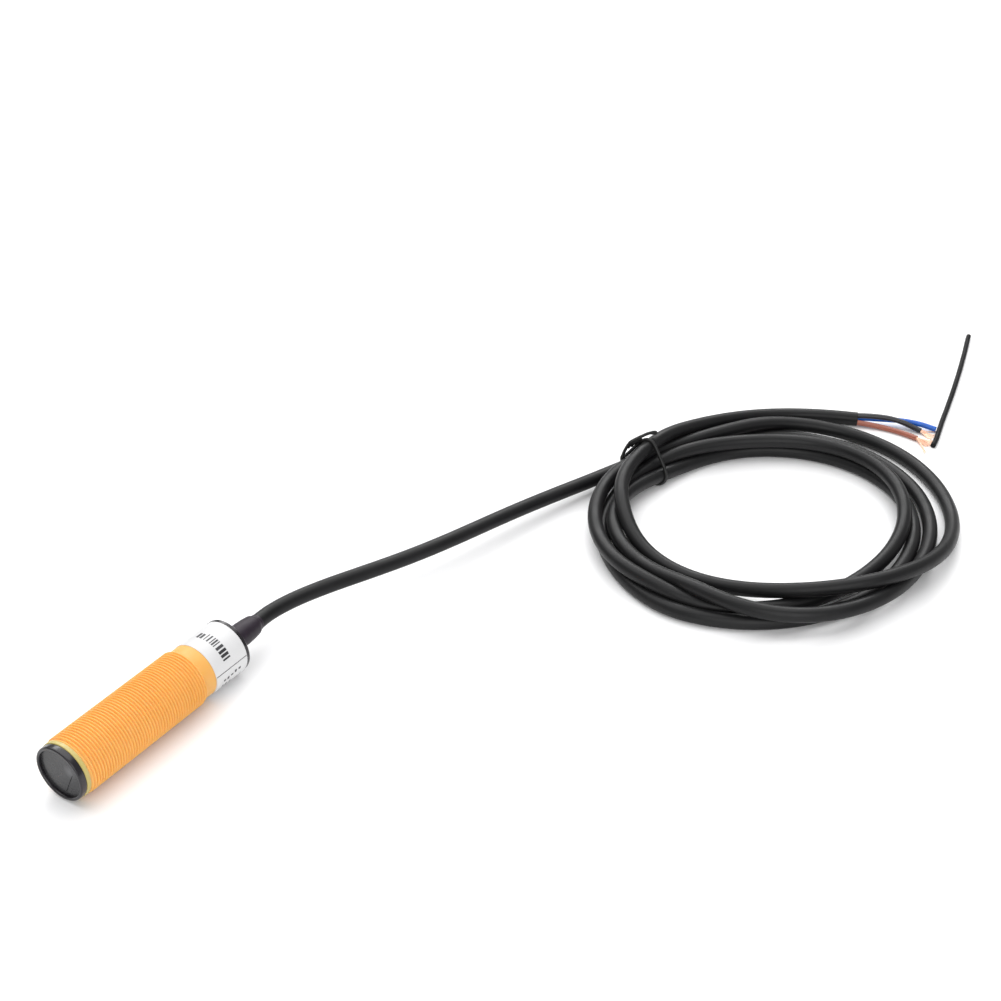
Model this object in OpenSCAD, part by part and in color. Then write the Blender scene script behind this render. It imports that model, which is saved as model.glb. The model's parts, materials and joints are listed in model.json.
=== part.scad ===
// Cylindrical photoelectric sensor, M18 x 1 threaded barrel, with its moulded three-core cable.
// The sensor lies on its side along Y: the sensing face looks along -Y, the cable leaves along +Y.
// The origin is under the middle of the sensor, on the surface that it lies on.

/* [Barrel] */
// Outside diameter of the thread
thread_d = 18; // [17.8:0.1:18.2]
// Pitch of the thread
thread_pitch = 1; // [0.75:0.25:1.5]
// Length of the threaded stretch
thread_len = 46; // [30:1:50]
// Diameter of the smooth rear stretch
plain_d = 16.6; // [16.4:0.1:17]
// Diameter of the bore
bore_d = 15; // [14.6:0.1:15.2]

/* [Front] */
// Outside diameter of the black bezel
bezel_d = 17; // [16.6:0.1:17.4]
// How far the bezel stands out of the barrel
bezel_proud = 2.1; // [1.5:0.1:3]
// Length of the smooth lip between bezel and thread
lip_len = 1.4; // [1:0.1:2]
// Diameter of the tinted window
window_d = 14.8; // [14.4:0.1:15]
// How far the window sits behind the rim
window_recess = 1; // [0.2:0.1:1]
// Roll of the optics about the sensor's axis
optics_roll = 26; // [0:1:90]

/* [Rear] */
// Distance from the front rim to the rear flange's back
flange_back = 67.8; // [66:0.1:76]
// Diameter of the rear flange
flange_d = 17; // [16.6:0.1:17.4]
// Thickness of the rear flange
flange_t = 1.2; // [0.6:0.1:1.5]
// Length of the label along the barrel
label_len = 13.2; // [8:0.1:14]
// Distance of the trimmer and of the indicator from the axis
rear_offset = 4.9; // [4.8:0.1:5.1]
// How far the strain relief stands out of the flange
relief_len = 13.2; // [11:0.1:20]

/* [Cable] */
// Diameter of the cable's jacket
cable_d = 4.8; // [4:0.1:5]
// Diameter of each insulated core
core_d = 1.9; // [1.5:0.1:2]
// Outside diameter of the loose insulating sleeve
sleeve_d = 1.8; // [1.4:0.1:2.2]
// Outside diameter of the coil
coil_d = 128; // [122:1:132]
// Width of the coil's bundle
coil_w = 26; // [20:1:28]
// Height of the coil's bundle
coil_h = 14.2; // [10:0.2:16]

/* [Hidden] */
$fn = 64;
total_len = flange_back + relief_len;
axis_z = thread_d / 2;
front_y = -total_len / 2;
rear_y = total_len / 2;

// Stations along the sensor, from the front rim
thread_start = bezel_proud + lip_len;
thread_end = thread_start + thread_len;
thread_depth = 0.6134 * thread_pitch;
root_d = thread_d - 2 * thread_depth;
crest_w = thread_pitch / 8;
runout_len = 0.6;
flange_front = flange_back - flange_t;
label_t = 0.1;
label_front = flange_front - label_len;

// Bezel, window and optics
rim_round = 0.35;
spigot_d = 14.5;
spigot_end = 6.5;
spigot_bore_d = 13.6;
window_t = 0.7;
gasket_t = 0.2;
window_back = window_recess + window_t;
seat_back = window_back + gasket_t;
groove_w = 0.22;
groove_depth = 0.25;
groove_from = [4.3, 1.1];
groove_to = [0.9, -6.1];
holder_d = 13.2;
holder_rear_d = 14.8;
holder_front = 2.4;
holder_back = 14;
optic_x = 3.35;
lens_d = 5.2;
lens_front = 3.2;
lens_edge_t = 0.8;
lens_crown = 0.7;
diode_d = 5;
diode_front = 6.8;
diode_back = 13.4;
septum_t = 0.4;
septum_back = 9;

// Circuit board and what it carries
board_w = 14.4;
board_t = 1.2;
board_front = 15;
board_back = 57;
leg_d = 0.45;
leg_gap = 0.3;
part_gap = 0.02;

// Trimmer, indicator and rear cap
trimmer_w = 3.3;
trimmer_front = 57.6;
trimmer_back = 61.8;
trimmer_bore_d = 2.2;
rotor_stub_d = 2.1;
rotor_head_d = 2.4;
rotor_head_front = 62.1;
rotor_back = flange_back - 0.3;
rotor_slot_w = 0.5;
rotor_slot_depth = 0.8;
rotor_hole_d = 3;
indicator_d = 2;
indicator_hole_d = 2.2;
lamp_front = 59;
lamp_leg_z = board_t / 2 + 0.22;
plug_d = 14.8;
plug_front = 62.6;
seal_d = 0.6;
seal_y = 64.6;

// Strain relief and cable entry
relief_base_d = 6.8;
relief_base_len = 0.8;
relief_d = 7.3;
relief_flare = 1.2;
relief_end_d = 6.5;
relief_lip_d = 5;
relief_root_d = 5.6;
relief_bore_d = 4.84;
relief_front = plug_front - 1;
neck_back = 7;
shoulder_back = 2.4;
lip_back = 0.9;
entry_front = 60;

// The coil lies on the surface beside and behind the sensor
coil_x = 97;
coil_y = 185;
coil_chamfer = 3;

// Route of the cable from the strain relief to the coil
LEAD = [
    [0, rear_y, 9], [0, 45.5, 9], [1, 51.3, 9], [3.4, 58.3, 9], [6.5, 66.5, 8.9], [9.8, 74.8, 8.8],
    [13.2, 82.9, 8.6], [16.3, 91, 8.3], [18.9, 99, 8], [21, 107.2, 7.7], [22.8, 115.5, 7.3],
    [24.5, 123.7, 6.9], [26.2, 131.8, 6.5], [28.1, 139.8, 6], [30.3, 147.7, 5.4], [32.9, 155.4, 4.8],
    [35.7, 163, 4.3], [38.6, 170.5, 3.8]
];
// Route of the cable's last stretch, from the coil to the jacket's end
TAIL = [[64.2, 235.5, 5.5], [69.6, 241.4, 4.5], [77, 247.6, 3.4], [85, 253.2, 2.6], [92, 256.6, 2.4]];
// Routes of the three cores from the jacket's end
BROWN = [
    [92.7, 255.6, 1.7], [97, 257.2, 1.4], [101, 258.4, 1.1], [105.5, 259, 1], [110, 259, 1],
    [114, 258.6, 1]
];
BLACK = [
    [91.8, 256.9, 3.6], [96.5, 259.4, 3.7], [101.5, 261.6, 3.5], [106, 263, 2.8], [110, 263.6, 1.8],
    [113.2, 263.9, 1.1]
];
BLUE = [
    [91.2, 257.9, 2], [96, 260.6, 1.9], [101, 263, 2], [106, 264.9, 2.2], [111.5, 266.5, 2],
    [117.2, 267.8, 1.1]
];
// Route of the loose sleeve
SLEEVE = [
    [120.6, 257.4, 0.9], [119.8, 262, 0.9], [118.2, 268.4, 0.9], [116.4, 275.6, 0.9], [114.7, 283, 0.9],
    [113, 290.2, 0.9], [111.2, 297.6, 0.9], [109.3, 305, 0.9], [107.3, 312.6, 0.9], [105.2, 320.2, 0.9],
    [103, 328, 0.9], [100.6, 336, 0.9], [99.8, 339, 0.9]
];
tube_sides = 10;
core_sides = 8;

// Bare copper at the end of each core, and the twist tie round the coil
strand_d = 0.3;
strand_len = 5;
strand_count = 5;
strand_step = 0.36;
strand_spread = 0.5;
tie_d = 1.2;
tie_loop_r = 7.2;
tie_x = 47.6;
tie_y = 184.4;
tie_tails = [
    [[43.6, 183.6, 13], [47.9, 190.7, 14.8]],
    [[42.9, 182.6, 12.2], [41.3, 179.5, 7.5]]
];

// Puts a shape drawn along +Z onto the sensor's axis, d behind the front rim
module along(d) {
    translate([0, front_y + d, axis_z]) rotate([-90, 0, 0]) children();
}

// A straight round bar on the sensor's axis, between two stations
module bar(d, from, to) {
    along(from) cylinder(d = d, h = to - from);
}

// A round bar whose centre line is x to the right of and z above the sensor's axis
module offset_bar(x, z, d, from, to) {
    translate([x, 0, z]) bar(d, from, to);
}

// A box on the board: centre x, first station, size, resting dz above the sensor's axis
module board_box(x, from, size, dz) {
    translate([x - size[0] / 2, front_y + from, axis_z + dz]) cube(size);
}

// Turns the optics about the sensor's axis
module rolled() {
    translate([0, 0, axis_z]) rotate([0, optics_roll, 0]) translate([0, 0, -axis_z]) children();
}

// Unit vector, and the direction of a route at its i-th point
function unit(v) = v / norm(v);
function heading(route, i) =
    unit(route[min(i + 1, len(route) - 1)] - route[max(i - 1, 0)]);

// One ring of points round a route's i-th point, across the route
function ring(route, i, d, sides) =
    let (
        t = heading(route, i),
        side = unit(cross(t, [0, 0, 1])),
        up = cross(side, t)
    )
    [for (k = [0:sides - 1])
        route[i] + d / 2 * (cos(360 * (k + 0.5) / sides) * side + sin(360 * (k + 0.5) / sides) * up)];

// A closed tube along a route
module tube(route, d, sides) {
    rings = len(route);
    points = [for (i = [0:rings - 1]) each ring(route, i, d, sides)];
    walls = [for (i = [0:rings - 2], k = [0:sides - 1])
        let (a = i * sides + k, b = i * sides + (k + 1) % sides)
        [b, a, a + sides, b + sides]];
    first = [for (k = [0:sides - 1]) k];
    last = [for (k = [sides - 1:-1:0]) (rings - 1) * sides + k];
    polyhedron(points = points, faces = concat([first], walls, [last]), convexity = 4);
}

// Outline of the barrel from the axis out, thread crests and roots included
function barrel_outline() = concat(
    [[bore_d / 2, bezel_proud], [root_d / 2, bezel_proud], [root_d / 2 + 0.3, bezel_proud + 0.3],
        [root_d / 2 + 0.3, thread_start - 0.3], [root_d / 2, thread_start]],
    [for (i = [0:floor(thread_len / thread_pitch) - 1])
        let (y = thread_start + i * thread_pitch)
        each [
            [root_d / 2, y + crest_w],
            [thread_d / 2, y + thread_pitch / 2 - crest_w / 2],
            [thread_d / 2, y + thread_pitch / 2 + crest_w / 2],
            [root_d / 2, y + thread_pitch - crest_w]
        ]],
    [[root_d / 2, thread_end], [plain_d / 2, thread_end + runout_len], [plain_d / 2, flange_front],
        [bore_d / 2, flange_front]]
);

// Yellow moulded tube with the external thread
module threaded_barrel() {
    color("orange") along(0) rotate_extrude() polygon(barrel_outline());
}

// Black ring glued into the barrel's mouth: round rim, window seat and spigot
module front_bezel() {
    r = bezel_d / 2;
    seat_r = window_d / 2 + 0.05;
    color("#151418") along(0) rotate_extrude() {
        difference() {
            union() {
                translate([seat_r, rim_round]) square([r - seat_r, bezel_proud - rim_round]);
                translate([r - rim_round, rim_round]) circle(r = rim_round);
                translate([seat_r, 0]) square([r - rim_round - seat_r, bezel_proud]);
                translate([spigot_bore_d / 2, seat_back])
                    square([spigot_d / 2 - spigot_bore_d / 2, spigot_end - seat_back]);
                translate([spigot_bore_d / 2, seat_back - 0.1])
                    square([r - 0.4 - spigot_bore_d / 2, bezel_proud - seat_back + 0.1]);
            }
            translate([0, -1]) square([seat_r, seat_back + 1]);
        }
    }
}

// Dark tinted disc that passes infra-red, with a shallow groove across part of it
module filter_window() {
    run = groove_to - groove_from;
    color("#2a2a30", 0.9) difference() {
        bar(window_d, window_recess, window_back);
        translate([groove_from[0], front_y + window_recess - 1, axis_z + groove_from[1]])
            rotate([0, -atan2(run[1], run[0]), 0])
                translate([0, 0, -groove_w / 2]) cube([norm(run), 1 + groove_depth, groove_w]);
    }
}

// Flat gasket behind the window
module window_gasket() {
    color("dimgray") difference() {
        bar(window_d - 0.1, window_back, seat_back);
        bar(spigot_bore_d + 0.2, window_back - 1, seat_back + 1);
    }
}

// Black block that holds both lenses and both diodes
module optics_holder() {
    color("#202024") rolled() difference() {
        union() {
            bar(holder_d, holder_front, holder_back);
            bar(holder_rear_d, spigot_end + 0.2, holder_back);
        }
        for (side = [-1, 1]) {
            offset_bar(side * optic_x, 0, lens_d + 0.1, holder_front - 1, diode_front - 1.2);
            offset_bar(side * optic_x, 0, 4.2, holder_front, diode_front);
            offset_bar(side * optic_x, 0, diode_d + 0.1, diode_front - 0.4, holder_back + 1);
        }
        translate([-septum_t / 2 - part_gap, front_y + holder_front - 1, axis_z - holder_d / 2 - 1])
            cube([septum_t + 2 * part_gap, septum_back - holder_front + 1 + part_gap, holder_d + 2]);
    }
}

// Thin plate that keeps the sent light away from the receiver
module optical_septum() {
    color("#101010") rolled() intersection() {
        translate([-septum_t / 2, front_y + holder_front, axis_z - holder_d / 2])
            cube([septum_t, septum_back - holder_front, holder_d]);
        bar(holder_d - 0.2, holder_front, septum_back);
    }
}

// One plano-convex lens, x to the side of the sensor's axis
module lens(x) {
    curve_r = (pow(lens_d / 2, 2) + pow(lens_crown, 2)) / (2 * lens_crown);
    rolled() translate([x, 0, 0]) along(lens_front) rotate_extrude() intersection() {
        translate([0, -lens_crown]) square([lens_d / 2, lens_crown + lens_edge_t]);
        union() {
            square([lens_d / 2, lens_edge_t]);
            translate([0, curve_r - lens_crown]) circle(r = curve_r, $fn = 128);
        }
    }
}

module emitter_lens() {
    color("lightblue", 0.7) lens(-optic_x);
}

module receiver_lens() {
    color("lightblue", 0.7) lens(optic_x);
}

// Round-nosed 5 mm diode with its two legs bent flat onto the board
module diode(x) {
    nose_r = diode_d / 2 - 0.05;
    rolled() translate([x, 0, 0]) along(diode_front) rotate_extrude() intersection() {
        square([nose_r, diode_back - diode_front]);
        union() {
            translate([0, nose_r]) circle(r = nose_r);
            translate([0, nose_r]) square([nose_r, diode_back]);
        }
    }
    side = sign(x);
    for (leg = [-0.6, 0.6])
        offset_bar(side * 2.9 + leg, -side * (board_t / 2 + leg_gap), leg_d, diode_back - 0.3,
            board_front + 3);
}

module emitter_led() {
    color("#30305a", 0.9) diode(-optic_x);
}

module receiver_diode() {
    color("#1c1c1c") diode(optic_x);
}

// Green board along the middle of the barrel
module circuit_board() {
    color("seagreen") difference() {
        board_box(0, board_front, [board_w, board_back - board_front, board_t], -board_t / 2);
        for (side = [-1, 1])
            translate([side * board_w / 2, front_y + 36, axis_z - 2]) cylinder(d = 2, h = 4);
    }
}

// A chip with rows of legs on both of its long sides
module chip(x, from, size, legs) {
    leg = [0.6, 0.4, 0.5];
    step = 1.27;
    top = board_t / 2 + part_gap;
    board_box(x, from, size, top + 0.3);
    for (i = [0:legs - 1], side = [-1, 1])
        board_box(x + side * (size[0] / 2 + leg[0] / 2 - 0.1),
            from + size[1] / 2 + (i - (legs - 1) / 2) * step - leg[1] / 2, leg, top);
}

module control_chip() {
    color("#181818") chip(0, 26, [4, 9, 1.5], 7);
}

module output_transistor() {
    color("#181818") chip(-2.6, 46, [2.6, 3, 1.1], 2);
}

module regulator() {
    color("#181818") chip(2.6, 46, [2.6, 3, 1.1], 2);
}

// Small resistors in two rows along the board's edges
module resistor_set() {
    color("#2c2c34") for (i = [0:4], side = [-1, 1])
        board_box(side * 4.8, 19 + 3 * i + (i > 2 ? 5 : 0), [0.9, 1.6, 0.5], board_t / 2 + part_gap);
}

// Two tall round capacitors below the board and three small ones on it
module capacitor_set() {
    color("#7a5a34") {
        for (i = [0:2])
            board_box((i - 1) * 2.6, 41, [1.2, 2, 0.9], board_t / 2 + part_gap);
        for (y = [24, 32])
            translate([0, front_y + y, axis_z - board_t / 2 - part_gap - 4.6]) cylinder(d = 5, h = 4.6);
    }
}

// Square body of the sensitivity trimmer, bored for its rotor
module trimmer_body() {
    color("#2f5fae") difference() {
        translate([rear_offset - trimmer_w / 2, front_y + trimmer_front, axis_z - trimmer_w / 2])
            cube([trimmer_w, trimmer_back - trimmer_front, trimmer_w]);
        offset_bar(rear_offset, 0, trimmer_bore_d, trimmer_front + 1.2, trimmer_back + 1);
    }
}

// Slotted screw that sets the sensitivity, turned from behind
module trimmer_rotor() {
    color("gold") difference() {
        union() {
            offset_bar(rear_offset, 0, rotor_stub_d, trimmer_front + 1.5, rotor_head_front + 0.5);
            offset_bar(rear_offset, 0, rotor_head_d, rotor_head_front, rotor_back);
        }
        translate([rear_offset - rotor_slot_w / 2, front_y + rotor_back - rotor_slot_depth,
            axis_z - rotor_head_d])
            cube([rotor_slot_w, rotor_slot_depth + 1, 2 * rotor_head_d]);
    }
}

// Red lamp seen through the rear cap, with its legs
module indicator_led() {
    color("red") {
        offset_bar(-rear_offset, 0, indicator_d, lamp_front, flange_back - 0.4);
        for (side = [-1, 1])
            offset_bar(-rear_offset, side * lamp_leg_z, 0.4, board_back - 1.5, lamp_front + 0.4);
    }
}

// Black cap with the flange that closes the barrel, drilled for relief, trimmer and lamp
module rear_cap() {
    edge = 0.25;
    color("#17151a") difference() {
        union() {
            bar(plug_d, plug_front, flange_front);
            along(flange_front) cylinder(d = flange_d, h = flange_t - edge);
            along(flange_back - edge) cylinder(d1 = flange_d, d2 = flange_d - 2 * edge, h = edge);
        }
        bar(relief_root_d, plug_front - 1, flange_back + 1);
        offset_bar(rear_offset, 0, rotor_hole_d, plug_front - 1, flange_back + 1);
        offset_bar(-rear_offset, 0, indicator_hole_d, plug_front - 1, flange_back + 1);
        along(seal_y) rotate_extrude() translate([plug_d / 2, 0]) square([1, seal_d], center = true);
    }
}

// Round sealing ring in the cap's groove
module rear_seal() {
    color("#303030") along(seal_y) rotate_extrude()
        translate([bore_d / 2 - seal_d / 2 - 0.02, 0]) circle(d = seal_d - 0.06);
}

// Rubber sleeve moulded on the cable: root in the cap, tapering body, rounded shoulder and thin lip
module strain_relief() {
    base = flange_back + relief_base_len;
    color("#242028") along(0) rotate_extrude() polygon([
        [relief_bore_d / 2, relief_front],
        [relief_root_d / 2 - 0.01, relief_front],
        [relief_root_d / 2 - 0.01, flange_back],
        [relief_base_d / 2, flange_back],
        [relief_base_d / 2, base],
        [relief_d / 2, base + relief_flare],
        [relief_d / 2, total_len - neck_back],
        [relief_end_d / 2, total_len - shoulder_back],
        [relief_lip_d / 2, total_len - lip_back],
        [relief_lip_d / 2, total_len],
        [relief_bore_d / 2, total_len]
    ]);
}

// Jacketed cable inside the strain relief
module cable_entry() {
    color("#151517") bar(cable_d, entry_front, total_len);
}

// Three short leads from the cable's end forward to the board
module solder_leads() {
    color("#8a4a28") for (x = [-1.4, 0, 1.4])
        offset_bar(x, board_t / 2 + 0.5, 0.9, board_back - 3.5, entry_front);
}

// Printed label wrapped round the rear of the barrel
module wrap_label() {
    color("gainsboro") difference() {
        bar(plain_d + 2 * label_t, label_front, flange_front);
        bar(plain_d, label_front - 1, flange_front + 1);
    }
}

module cable_lead() {
    color("#1b1b1d") tube(LEAD, cable_d, tube_sides);
}

// The wound turns of the cable as one ring that lies on the surface
module cable_coil() {
    r = coil_d / 2;
    c = coil_chamfer;
    color("#1b1b1d") translate([coil_x, coil_y, 0]) rotate_extrude($fn = 96) polygon([
        [r - coil_w + c, 0], [r - c, 0], [r, c], [r, coil_h - c], [r - c, coil_h],
        [r - coil_w + c, coil_h], [r - coil_w, coil_h - c], [r - coil_w, c]
    ]);
}

module cable_tail() {
    color("#1b1b1d") tube(TAIL, cable_d, tube_sides);
}

module core_brown() {
    color("#8a3f2a") tube(BROWN, core_d, core_sides);
}

module core_black() {
    color("#16161c") tube(BLACK, core_d, core_sides);
}

module core_blue() {
    color("#1f45b0") tube(BLUE, core_d, core_sides);
}

// A straight round stick from one point to another
module stick(from, to, d) {
    v = to - from;
    translate(from) rotate([0, acos(v[2] / norm(v)), atan2(v[1], v[0])])
        cylinder(d = d, h = norm(v), $fn = 24);
}

// Bare copper strands that fan out from the end of a core's route and sink towards the surface
module strands(route) {
    end = route[len(route) - 1];
    t = heading(route, len(route) - 1);
    side = unit(cross(t, [0, 0, 1]));
    color("peru") for (i = [0:strand_count - 1])
        let (
            k = i - (strand_count - 1) / 2,
            from = end + k * strand_step * side,
            to = from + strand_len * t + k * strand_spread * side
        )
        stick(from, [to[0], to[1], 0.4 + 0.2 * (i % 3)], strand_d);
}

module strands_brown() {
    strands(BROWN);
}

module strands_black() {
    strands(BLACK);
}

// Straight cut length of black insulating sleeve that lies behind the wire ends
module loose_sleeve() {
    color("#111113") tube(SLEEVE, sleeve_d, core_sides);
}

// Plastic-covered wire round the coil, twisted on top with its two tails free
module twist_tie() {
    color("#101010") {
        translate([tie_x, tie_y, tie_loop_r + tie_d / 2]) rotate([90, 0, 0]) rotate_extrude()
            translate([tie_loop_r, 0]) circle(d = tie_d);
        for (tail = tie_tails)
            stick(tail[0], tail[1], tie_d);
    }
}

threaded_barrel();
front_bezel();
filter_window();
window_gasket();
optics_holder();
optical_septum();
emitter_lens();
receiver_lens();
emitter_led();
receiver_diode();
circuit_board();
control_chip();
output_transistor();
regulator();
resistor_set();
capacitor_set();
trimmer_body();
trimmer_rotor();
indicator_led();
rear_cap();
rear_seal();
strain_relief();
cable_entry();
solder_leads();
wrap_label();
cable_lead();
cable_coil();
cable_tail();
core_brown();
core_black();
core_blue();
strands_brown();
strands_black();
loose_sleeve();
twist_tie();
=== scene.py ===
"""Cylindrical photoelectric sensor, its cable wound into a tied coil, on a white surface."""

import json
import math
import random

import bmesh
import bpy
import numpy as np
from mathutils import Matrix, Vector


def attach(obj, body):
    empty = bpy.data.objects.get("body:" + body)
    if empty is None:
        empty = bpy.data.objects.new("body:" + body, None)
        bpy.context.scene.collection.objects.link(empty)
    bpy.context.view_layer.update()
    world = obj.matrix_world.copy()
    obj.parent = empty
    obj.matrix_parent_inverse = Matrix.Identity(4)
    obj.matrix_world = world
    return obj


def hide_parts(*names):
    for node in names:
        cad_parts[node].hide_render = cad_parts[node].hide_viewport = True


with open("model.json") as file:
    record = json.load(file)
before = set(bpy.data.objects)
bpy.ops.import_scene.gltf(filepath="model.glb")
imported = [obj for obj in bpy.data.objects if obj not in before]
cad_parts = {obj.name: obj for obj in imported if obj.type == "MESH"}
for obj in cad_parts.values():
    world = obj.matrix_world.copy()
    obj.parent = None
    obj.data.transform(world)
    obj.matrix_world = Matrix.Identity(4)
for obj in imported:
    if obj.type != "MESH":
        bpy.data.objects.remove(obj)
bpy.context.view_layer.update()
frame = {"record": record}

MM = 0.001
BODY = "sensor"
FRONT_Y = -40.5  # the front rim, in millimetres along Y
AXIS_Z = 9.0  # the sensor's axis above the surface
CABLE_D = 4.8
CORE_D = 1.9
SLEEVE_D = 1.8
TIE_D = 1.2


# ---------------------------------------------------------------- camera

CAMERA_PLACE = (0.3076, -0.2821, 0.3456)
CAMERA_DOWN, CAMERA_TURN = 33.71, 34.37  # degrees below the horizon, and to the left of +Y
CAMERA_LENS = 67.25


def add_camera():
    """The viewing angle of a product picture: from the front right and a third of the way up."""
    data = bpy.data.cameras.new("camera")
    data.sensor_width = 36.0
    data.lens = CAMERA_LENS
    data.clip_start = 0.01
    data.clip_end = 20.0
    cam = bpy.data.objects.new("camera", data)
    cam.location = CAMERA_PLACE
    cam.rotation_euler = (math.radians(90 - CAMERA_DOWN), 0.0, math.radians(CAMERA_TURN))
    bpy.context.collection.objects.link(cam)
    bpy.context.scene.camera = cam


add_camera()


# ---------------------------------------------------------------- cable route, in millimetres

# The un-coiled stretches, the same points as the CAD part's routes. Most of these, and of the cores'
# points, began as places read off the photograph in the way that TURNS did.
LEAD = [
    (0, 40.5, 9), (0, 45.5, 9), (1, 51.3, 9), (3.4, 58.3, 9), (6.5, 66.5, 8.9), (9.8, 74.8, 8.8),
    (13.2, 82.9, 8.6), (16.3, 91, 8.3), (18.9, 99, 8), (21, 107.2, 7.7), (22.8, 115.5, 7.3),
    (24.5, 123.7, 6.9), (26.2, 131.8, 6.5), (28.1, 139.8, 6), (30.3, 147.7, 5.4), (32.9, 155.4, 4.8),
    (35.7, 163, 4.3), (38.6, 170.5, 3.8),
]
TAIL = [(64.2, 235.5, 5.5), (69.6, 241.4, 4.5), (77, 247.6, 3.4), (85, 253.2, 2.6), (92, 256.6, 2.4)]
COIL_CENTRE = (97.3, 184.7)

# Each turn of the coil: (angle clockwise from +X, radius, height of the cable's centre). These are a
# trace: they were read off the photograph along each strand, turned into angles and radii with the
# fitted camera and assumed heights, then rounded and shifted. No formula makes them.
TURNS = [
    [  # over the lead: the middle behind, on the others in front, and down again at the left
        (173, 56.6, 3.2), (181, 53.2, 3.2), (190, 51.2, 3), (200, 50.5, 2.6), (215, 50.8, 2.4),
        (235, 51.6, 2.4), (252, 52, 2.4), (276, 52, 2.4), (300, 51.2, 2.4), (315, 51, 2.4),
        (327, 50, 2.4), (340, 49, 2.6), (352, 48.8, 3.2), (362, 49.6, 4), (372, 51, 5), (382, 53, 6),
        (392, 55.4, 6.6), (402, 57.4, 6.8), (412, 59, 6.8), (422, 60, 7), (432, 59.6, 7.6),
        (439, 58.2, 8.2), (447, 56.6, 8.2), (454, 55.2, 7), (462, 54.2, 5), (470, 53.8, 2.4),
        (478, 54, 2.4), (486, 55, 3.8), (492, 56, 5.6), (498, 56.4, 7), (505, 55.8, 7.6),
    ],
    [  # down to the inside, then the lowest of all in front
        (152, 53.2, 7.2), (160, 51, 6.6), (168, 48.6, 5.4), (176, 46, 4.2), (184, 44.6, 3.4),
        (195, 43.2, 2.4), (210, 42.4, 2.4), (235, 42.4, 2.4), (254, 42.6, 2.4), (272, 43.6, 2.4),
        (284, 45.2, 2.4), (300, 45.4, 2.4), (318, 44.5, 2.4), (334, 44, 2.4), (346, 43.8, 2.4),
        (358, 44.4, 2.4), (369, 45.7, 2.4), (381, 47.4, 2.4), (391, 49, 2.4), (400, 50.8, 2.4),
        (408, 52.4, 2.4), (415, 54, 2.4), (422, 55.7, 2.4), (430, 57.5, 2.4), (439, 59.6, 2.4),
        (452, 60.6, 2.4), (466, 60.6, 2.4), (480, 60.2, 2.4), (489, 59, 2.4), (497, 56.8, 2.4),
        (506, 54.2, 2.4),
    ],
    [  # over the last turn behind, down and out in front, and on the others at the left
        (153, 51.4, 2.4), (160, 50.2, 2.6), (168, 49.2, 3.6), (176, 48.2, 5), (184, 46.4, 5.8),
        (195, 43, 5.8), (205, 40.4, 5.6), (215, 39.6, 5.6), (226, 39.8, 6), (240, 40.6, 6.7),
        (253, 42, 7), (262, 43.8, 6.9), (270, 45.2, 6.6), (279, 45.5, 6.4), (290, 44.5, 6.5),
        (301, 43.7, 6.7), (320, 42.6, 6.7), (333, 41.8, 6.4), (342, 41.2, 5.8), (351, 40.5, 5),
        (361, 39.6, 4), (371, 38.8, 3.2), (384, 39.4, 2.6), (398, 42, 2.4), (411, 46, 2.4),
        (421, 49, 2.4), (430, 51.2, 2.4), (437, 53, 2.6), (444, 55.2, 3), (450, 57.6, 3.8),
        (457, 60.4, 5.4), (465, 62.6, 6.4), (473, 63.4, 6.4), (484, 61.8, 6.7), (492, 60.8, 6.7),
        (501, 59.6, 6.8),
    ],
    [  # outermost on the right, across all the others in front, and innermost at the left
        (150, 58.1, 6.9), (159, 57.2, 7.2), (167, 56, 7.6), (175, 54.6, 7.4), (182, 53, 7),
        (190, 51, 6.6), (198, 48.4, 6.4), (207, 45.8, 7.2), (217, 45.8, 7.2), (226, 47.2, 7.3),
        (233, 49.6, 7.2), (240, 53, 6.2), (247, 56.4, 4.6), (254, 59.2, 3.2), (261, 61, 2.4),
        (269, 61.8, 2.4), (279, 61.7, 2.4), (289, 60.7, 2.4), (300, 59.4, 2.4), (312, 58.4, 2.4),
        (322, 57.8, 2.4), (330, 57, 2.7), (338, 56, 3.4), (346, 54.9, 4.4), (354, 54, 6),
        (362, 53.4, 7.6), (371, 52.7, 9.2), (380, 52, 10.2), (389, 50.9, 10.2), (397, 49.4, 9.6),
        (406, 47.6, 8.6), (414, 46, 7.6), (422, 44.8, 6.4), (430, 44, 5.2), (438, 43.8, 4.2),
        (446, 43.9, 3.4), (455, 44.9, 2.8), (465, 46.6, 2.4), (474, 48.4, 2.4), (482, 49.9, 3),
        (490, 51.3, 4.2), (498, 52.4, 5.8), (506, 52.9, 7.6),
    ],
    [  # the last stretch, on top at the tie and then down the outside
        (154, 53.8, 12), (161, 52.6, 12), (169, 50.4, 11.4), (176, 48.8, 10.6), (184, 48.4, 9.8),
        (192, 48.8, 9), (200, 50, 8.4), (210, 52.2, 7.8), (220, 55, 7.5), (228, 57.4, 6.5),
    ],
]
TURN_STEP = 5.0  # degrees between the points that the turns are drawn with
STEP = 2.4  # spacing of the points that the cable is settled with
STAGES = ((400, 80), (150, 80), (80, 120))  # (stiffness, rounds) of the settling, stiff at first
LAST_STIFFNESS = 12.0
PULL = 0.1  # towards the rough route
SINK = 0.02  # how far the cable falls in each round
PUSHES = 4  # how often touching points are pushed apart in each round
PUSH_SHARE = 0.4  # of an overlap that each of the two points gives way
NEAR = 1.6 * CABLE_D  # points closer than this are watched for touching
APART = 6  # points along the cable that may always be close
RELISTED = 10  # rounds between two lists of the points that are near
HELD_WEIGHT = 1e5  # of the points at the cable's two ends, which stay where they are
TIE_Y = 184.0
TIE_LEAN = 0.3  # the tie's plane leans back as it rises
TIE_MID_Z = 6.0
TIE_REACH = 9.0  # how far along Y the tie's wire lifts the strands that lie on it
TIE_FROM_X, TIE_TO_X = 36, 60


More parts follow.
